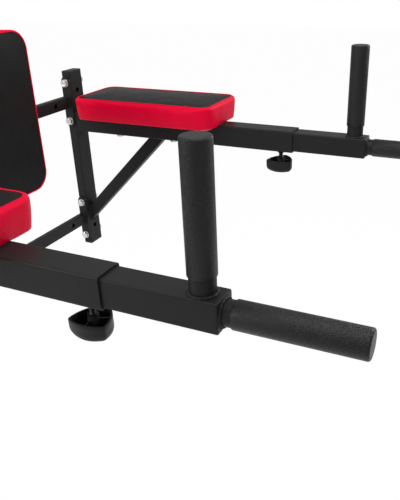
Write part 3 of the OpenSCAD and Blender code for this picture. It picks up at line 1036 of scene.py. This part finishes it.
def rect_ring(half_w, half_d, radius, height, bend=5):
    """Rounded rectangle, always with the same number of points."""
    points = []
    for corner, (sx, sy) in enumerate(((1, 1), (-1, 1), (-1, -1), (1, -1))):
        for i in range(bend + 1):
            a = math.pi / 2 * (corner + i / bend)
            points.append(Vector((sx * (half_w - radius) + radius * math.cos(a),
                                  sy * (half_d - radius) + radius * math.sin(a), height)))
    return points


def cap_rings(half_w, half_d, radius, thick, edge, stem=None):
    """A rounded cap along +Z; stem is (inset, depth) of the part that goes into a tube."""
    rings = []
    if stem:
        inset, depth = stem
        inner = (half_w - inset, half_d - inset, max(radius - inset, 0.6 * MM))
        rings += [rect_ring(inner[0] - 0.8 * MM, inner[1] - 0.8 * MM, inner[2], -depth),
                  rect_ring(*inner, -depth + 0.8 * MM), rect_ring(*inner, 0)]
    rings.append(rect_ring(half_w, half_d, radius, 0))
    for i in range(5):
        a = math.pi / 2 * i / 4
        back = edge * (1 - math.cos(a))
        rings.append(rect_ring(half_w - back, half_d - back, max(radius - 0.5 * back, 0.5 * MM),
                               thick - edge + edge * math.sin(a)))
    return rings


def spots(node, aim_of, sink=0.0):
    """Where a node's solids start along their aim, sunk in by a length, for repeat_tree."""
    points, aims, sides = [], [], []
    for low, high in solids(node):
        centre = (low + high) / 2
        aim = aim_of(centre)
        half = (high - low) / 2
        reach = sum(abs(h * a) for h, a in zip(half, aim))
        points.append(centre - aim * (reach - sink))
        aims.append(aim)
        sides.append(Vector((0, 1, 0)) if abs(aim.y) < 0.5 else Vector((0, 0, 1)))
    return point_mesh(points, aims, sides)


# ---- operators -------------------------------------------------------------------------

class DIPSTATION_OT_finishes(bpy.types.Operator):
    """Give every CAD part its finish"""
    bl_idname = "dipstation.finishes"
    bl_label = "Finishes"

    def execute(self, context):
        made = finishes(context.scene)
        for row in frame["record"]["subparts"]:
            for holder in frame["nodes"][row["node"]].material_slots:
                holder.material = made[row["material_slot"]]
        return {"FINISHED"}


class DIPSTATION_OT_pads(bpy.types.Operator):
    """Sew the arm pads and the back pad: covers, piping and staples"""
    bl_idname = "dipstation.pads"
    bl_label = "Pads"

    def execute(self, context):
        made = finishes(context.scene)
        tools = context.scene.dipstation_pad
        covers = [made["red_vinyl"], made["black_vinyl"]]
        staple, tree = staple_part(), repeat_tree()
        jobs = []

        def flat(node):
            low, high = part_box(node)
            return Matrix.Translation(Vector(((low.x + high.x) / 2, (low.y + high.y) / 2, low.z)))

        low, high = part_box("left_arm_pad_cushion")
        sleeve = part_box("left_arm_sleeve")
        bearing = (sleeve[1].x - sleeve[0].x) / 2 + 2 * MM
        arm = Pad("left_arm_pad_cover", "left_arm_pad_cushion", flat("left_arm_pad_cushion"),
                  high - low, ARM_PAD_CORNER, tools, tools.roll, lambda p: abs(p.x) < bearing)
        arm.make(covers, "frame", "red_vinyl")
        jobs.append((arm, "left_arm_pad", flat("left_arm_pad_cushion")))
        arm.copy("right_arm_pad_cover", flat("right_arm_pad_cushion"), "right_arm_pad_cushion",
                 "frame", "red_vinyl")
        jobs.append((arm, "right_arm_pad", flat("right_arm_pad_cushion")))

        low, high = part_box("back_pad_cushion")
        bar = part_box("upper_crossbar")
        heart = (low + high) / 2
        upward = Matrix.Translation(Vector((heart.x, high.y, heart.z))) @ Matrix.Rotation(
            math.pi / 2, 4, "X")
        rests = (bar[0].z - heart.z - 2 * MM, bar[1].z - heart.z + 2 * MM)
        size = Vector((high.x - low.x, high.z - low.z, high.y - low.y))
        back = Pad("back_pad_cover", "back_pad_cushion", upward, size, BACK_PAD_CORNER, tools,
                   tools.back_roll, lambda p: rests[0] < p.y < rests[1])
        back.make(covers, "frame", "black_vinyl")
        jobs.append((back, "back_pad", upward))

        for pad, name, to_world in jobs:
            pad.piping(name + "_piping", to_world, made["red_vinyl"], "frame", "red_vinyl")
            places = staple_rows(pad, to_world)
            tree.grow(name + "_staples", point_mesh(*places),
                      {"Part": staple, "Finish": made["zinc"]}, "frame", "zinc")
        unlink(staple)
        return {"FINISHED"}


class DIPSTATION_OT_grips(bpy.types.Operator):
    """Mould the four rubber hand grips"""
    bl_idname = "dipstation.grips"
    bl_label = "Grips"

    def execute(self, context):
        rubber = finishes(context.scene)["grip_rubber"]
        tools = context.scene.dipstation_grip
        for side in SIDES:
            for kind, axis in (("post", UP), ("nose", FORWARD)):
                node = f"{side}_{kind}_grip"
                low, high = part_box(node)
                size = high - low
                reach = abs(size.dot(axis))
                start = (low + high) / 2 - axis * reach / 2
                shape = loft(lathe(grip_profile((size.x / 2, reach), tools), 64))
                shell(f"{node}_rubber", shape, 50, standing(start, axis), rubber,
                      f"{side}_handle", node)
        return {"FINISHED"}


class DIPSTATION_OT_knobs(bpy.types.Operator):
    """Mould the clamp knobs, cut their screws and round their weld nuts"""
    bl_idname = "dipstation.knobs"
    bl_label = "Clamp knobs"

    def execute(self, context):
        made = finishes(context.scene)
        tools = context.scene.dipstation_knob
        for side in SIDES:
            node, screw, nut = (f"{side}_clamp_{part}" for part in ("knob", "screw", "nut"))
            low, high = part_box(node)
            axis = middle(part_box(screw))
            stand = Matrix.Translation(Vector((axis.x, axis.y, low.z)))
            shell(f"{node}_moulding", knob_mesh(high.z - low.z, tools), 42, stand,
                  made["black_plastic"], f"{side}_knob", node)

            low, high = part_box(screw)
            thread = thread_rings((high.x - low.x) / 2, tools.thread_pitch, low.z, high.z,
                                  Vector((axis.x, axis.y, 0)))
            shell(f"{screw}_thread", thread, 40, None, made["black_steel"],
                  f"{side}_knob", screw)

            low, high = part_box(nut)
            across, tall = (high.y - low.y) / 2, high.z - low.z
            bore = BOLT_RADIUS + 0.05 * MM
            profile = [(bore, tall), (across + 1.2 * MM, tall), (across + 0.7 * MM, 0.88 * tall),
                       (across, 0.7 * tall), (0.96 * across, 0.25 * tall),
                       (0.86 * across, 0.05 * tall), (0.78 * across, 0),
                       (bore + 0.55 * MM, 0), (bore, 0.08 * tall)]
            stand = Matrix.Translation(Vector((axis.x, axis.y, low.z)))
            shell(f"{nut}_welded", loft(lathe(profile, 40), around=True), 50, stand,
                  made["powder_coat"], "frame", nut)
        return {"FINISHED"}


class DIPSTATION_OT_caps(bpy.types.Operator):
    """Round the tube ends' caps"""
    bl_idname = "dipstation.caps"
    bl_label = "Caps"

    def execute(self, context):
        made = finishes(context.scene)
        for side in SIDES:
            for end, turn in (("top", 1), ("bottom", -1)):
                node = f"{side}_upright_{end}_plug"
                low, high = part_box(node)
                tube_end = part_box(f"{side}_upright")[1 if turn > 0 else 0].z
                thick = (high.z - tube_end) if turn > 0 else (tube_end - low.z)
                rings = cap_rings((high.x - low.x) / 2, (high.y - low.y) / 2, PLUG_CORNER,
                                  thick, 1.4 * MM, stem=(PLUG_INSET, (high.z - low.z) - thick))
                centre = (low + high) / 2
                stand = Matrix.Translation(Vector((centre.x, centre.y, tube_end)))
                shell(f"{node}_cap", loft(rings), 40, stand @ Matrix.Diagonal((1, 1, turn, 1)),
                      made["black_plastic"], "frame", node)
            node = f"{side}_inner_tube_end_plate"
            low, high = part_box(node)
            centre = (low + high) / 2
            rings = cap_rings((high.x - low.x) / 2, (high.z - low.z) / 2, END_PLATE_CORNER,
                              high.y - low.y, 1.5 * MM)
            stand = Matrix.Translation(Vector((centre.x, high.y, centre.z))) @ Matrix.Rotation(
                math.pi / 2, 4, "X")
            shell(f"{node}_ground", loft(rings), 40, stand, made["powder_coat"],
                  f"{side}_handle", node)
        return {"FINISHED"}


class DIPSTATION_OT_fasteners(bpy.types.Operator):
    """Set the bolts, washers and lock nuts by Geometry Nodes"""
    bl_idname = "dipstation.fasteners"
    bl_label = "Fasteners"

    def execute(self, context):
        zinc = finishes(context.scene)["zinc"]
        tree = repeat_tree()
        pitch = context.scene.dipstation_knob.thread_pitch

        def outward(centre):
            return Vector((math.copysign(1, centre.x), 0, 0))

        low, high = solids("crossbar_bolts")[0]
        long = high.x - low.x - BOLT_HEAD
        parts = {
            "crossbar_bolt": bolt_part(BOLT_ACROSS, BOLT_HEAD, BOLT_RADIUS, long, pitch),
            "arm_pad_bolt": bolt_part(BOLT_ACROSS, BOLT_HEAD, BOLT_RADIUS, ARM_PAD_BOLT, pitch),
            "washer": washer_part(2 * BOLT_RADIUS, BOLT_RADIUS + 0.3 * MM, WASHER),
            "lock_nut": lock_nut_part(BOLT_ACROSS, LOCK_NUT, BOLT_RADIUS - 0.1 * MM),
        }
        jobs = [("crossbar_bolts", "crossbar_bolt", outward, BOLT_HEAD),
                ("crossbar_washers", "washer", outward, 0),
                ("crossbar_lock_nuts", "lock_nut", outward, 0)]
        for side in SIDES:
            jobs += [(f"{side}_arm_pad_bolts", "arm_pad_bolt", lambda _: UP, BOLT_HEAD),
                     (f"{side}_arm_pad_washers", "washer", lambda _: UP, 0)]
        for node, part, aim_of, sink in jobs:
            fixed = tree.grow(f"{node}_set", spots(node, aim_of, sink),
                              {"Part": parts[part], "Finish": zinc}, "frame", "zinc")
            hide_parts(node)
        unlink(*parts.values())
        return {"FINISHED"}


class DIPSTATION_OT_welds(bpy.types.Operator):
    """Lay the weld beads by Geometry Nodes"""
    bl_idname = "dipstation.welds"
    bl_label = "Welds"

    def execute(self, context):
        tools = context.scene.dipstation_weld
        tree = weld_tree()
        coat = finishes(context.scene)["powder_coat"]
        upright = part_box("left_upright")
        plate = upright[0].y
        frame_loops = []
        for side in SIDES:
            sleeve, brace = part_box(f"{side}_arm_sleeve"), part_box(f"{side}_arm_brace")
            x, under = middle(sleeve).x, sleeve[0].z
            half = (sleeve[1].x - sleeve[0].x) / 2 - 0.6 * MM
            wide, cut = (brace[1].x - brace[0].x) / 2, BRACE_DEPTH / 2 * math.sqrt(2)
            joint = rect_ring(wide, cut, 1.5 * MM, 0)
            face = plate - 0.3 * MM
            frame_loops += [
                spread(rect_ring(half, half, 3 * MM, 0), (x, face, middle(sleeve).z), RIGHT, UP),
                spread(joint, (x, brace[0].y + cut, under - 0.3 * MM), RIGHT, -FORWARD),
                spread(joint, (x, face, brace[0].z + cut), RIGHT, UP)]
            bar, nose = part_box(f"{side}_post_bar"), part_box(f"{side}_nose_bar")
            round_bar = circle((bar[1].x - bar[0].x) / 2 + 0.3 * MM, 0, 48)
            post, front = middle(bar), middle(nose)
            base = spread(round_bar, (post.x, post.y, bar[0].z + 0.4 * MM), RIGHT, -FORWARD)
            front = spread(round_bar, (front.x, nose[1].y - 0.4 * MM, front.z), RIGHT, UP)
            self.lay(tree, f"{side}_handle_welds", [base, front], f"{side}_handle", tools, coat)
        for level in ("upper", "lower"):
            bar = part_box(f"{level}_crossbar")
            centre = middle(bar)
            loop = rect_ring((bar[1].y - bar[0].y) / 2, (bar[1].z - bar[0].z) / 2, 2 * MM, 0)
            for x in (bar[0].x, bar[1].x):
                bead = spread(loop, (x, centre.y, centre.z), -FORWARD, UP)
                frame_loops.append([p for p in bead if p.y < -WALL_GAP])
        self.lay(tree, "frame_welds", frame_loops, "frame", tools, coat)
        return {"FINISHED"}

    def lay(self, tree, name, loops, body, tools, coat):
        values = {"Radius": tools.radius, "Ripple": tools.ripple, "Seed": WELD_SEED, "Finish": coat}
        tree.grow(name, path_mesh(loops), values, body, "powder_coat")


class DIPSTATION_OT_stage(bpy.types.Operator):
    """Set up the camera, lights, floor and background"""
    bl_idname = "dipstation.stage"
    bl_label = "Stage"

    def execute(self, context):
        scene, tools = context.scene, context.scene.dipstation_stage
        scene.view_settings.view_transform = "Standard"
        lens = bpy.data.cameras.new("camera")
        lens.lens = tools.lens
        lens.sensor_width = 36
        lens.shift_x, lens.shift_y = tools.shift_x, tools.shift_y
        lens.clip_start = 0.01
        camera = bpy.data.objects.new("camera", lens)
        camera.location, camera.rotation_euler = tools.camera_place, tools.camera_turn
        scene.collection.objects.link(camera)
        scene.camera = camera

        for name in ("key", "fill", "rim"):
            power, size, place = (getattr(tools, f"{name}_{key}")
                                  for key in ("power", "size", "place"))
            self.light(scene, name, power, size, place)
        self.sky(scene, tools)

        reach = 9
        corners = [Vector((x, y, -tools.floor_drop)) for x, y in
                   ((-reach, -reach), (reach, -reach), (reach, reach), (-reach, reach))]
        piece("floor", corners, [(0, 1, 2, 3)],
                       [floor_finish("floor", tools.floor_tone, tools.floor_lift)], None)
        return {"FINISHED"}

    def light(self, scene, name, power, size, place):
        lamp = bpy.data.lights.new(name, "AREA")
        lamp.energy, lamp.size = power, size
        holder = bpy.data.objects.new(name, lamp)
        holder.location = place
        holder.rotation_euler = (Vector((0, -0.35, 0)) - Vector(place)).to_track_quat(
            "-Z", "Y").to_euler()
        scene.collection.objects.link(holder)

    def sky(self, scene, tools):
        """Even light, and white where the camera or a polished face looks past the station."""
        scene.world = bpy.data.worlds.new("sky")
        paint = Paint("sky", scene.world)
        camera, glossy = (paint.add("ShaderNodeLightPath", {}, out=f"Is {ray} Ray")
                          for ray in ("Camera", "Glossy"))
        seen = paint.add("ShaderNodeMath", {"operation": "MAXIMUM"}, camera,
                         glossy * tools.glossy_sky)
        light = paint.add("ShaderNodeBackground", {}, Color=(1, 1, 1, 1),
                          Strength=tools.sky + (1 - tools.sky) * seen)
        paint.add("ShaderNodeOutputWorld", {}, Surface=light)


GROUPS = {"stage": DIPSTATION_PG_stage, "finish": DIPSTATION_PG_finish, "pad": DIPSTATION_PG_pad,
          "grip": DIPSTATION_PG_grip, "knob": DIPSTATION_PG_knob, "weld": DIPSTATION_PG_weld}
OPERATORS = (DIPSTATION_OT_finishes, DIPSTATION_OT_pads, DIPSTATION_OT_grips, DIPSTATION_OT_knobs,
             DIPSTATION_OT_caps, DIPSTATION_OT_fasteners, DIPSTATION_OT_welds, DIPSTATION_OT_stage)


class DIPSTATION_PT_panel(bpy.types.Panel):
    """Settings and steps of the dip station"""
    bl_label = "Dip Station"
    bl_space_type = "VIEW_3D"
    bl_region_type = "UI"
    bl_category = "Dip Station"

    def draw(self, context):
        for name, group in GROUPS.items():
            settings = getattr(context.scene, "dipstation_" + name)
            for key in group.__annotations__:
                self.layout.prop(settings, key)
        for step in OPERATORS:
            self.layout.operator(step.bl_idname)


def register():
    for kind in (*GROUPS.values(), *OPERATORS, DIPSTATION_PT_panel):
        bpy.utils.register_class(kind)
    for name, group in GROUPS.items():
        setattr(bpy.types.Scene, "dipstation_" + name, PointerProperty(type=group))


def unregister():
    for name in GROUPS:
        delattr(bpy.types.Scene, "dipstation_" + name)
    for kind in reversed((*GROUPS.values(), *OPERATORS, DIPSTATION_PT_panel)):
        bpy.utils.unregister_class(kind)


def main():
    register()
    for step in OPERATORS:
        group, name = step.bl_idname.split(".")
        getattr(getattr(bpy.ops, group), name)()


if __name__ == "__main__":
    main()
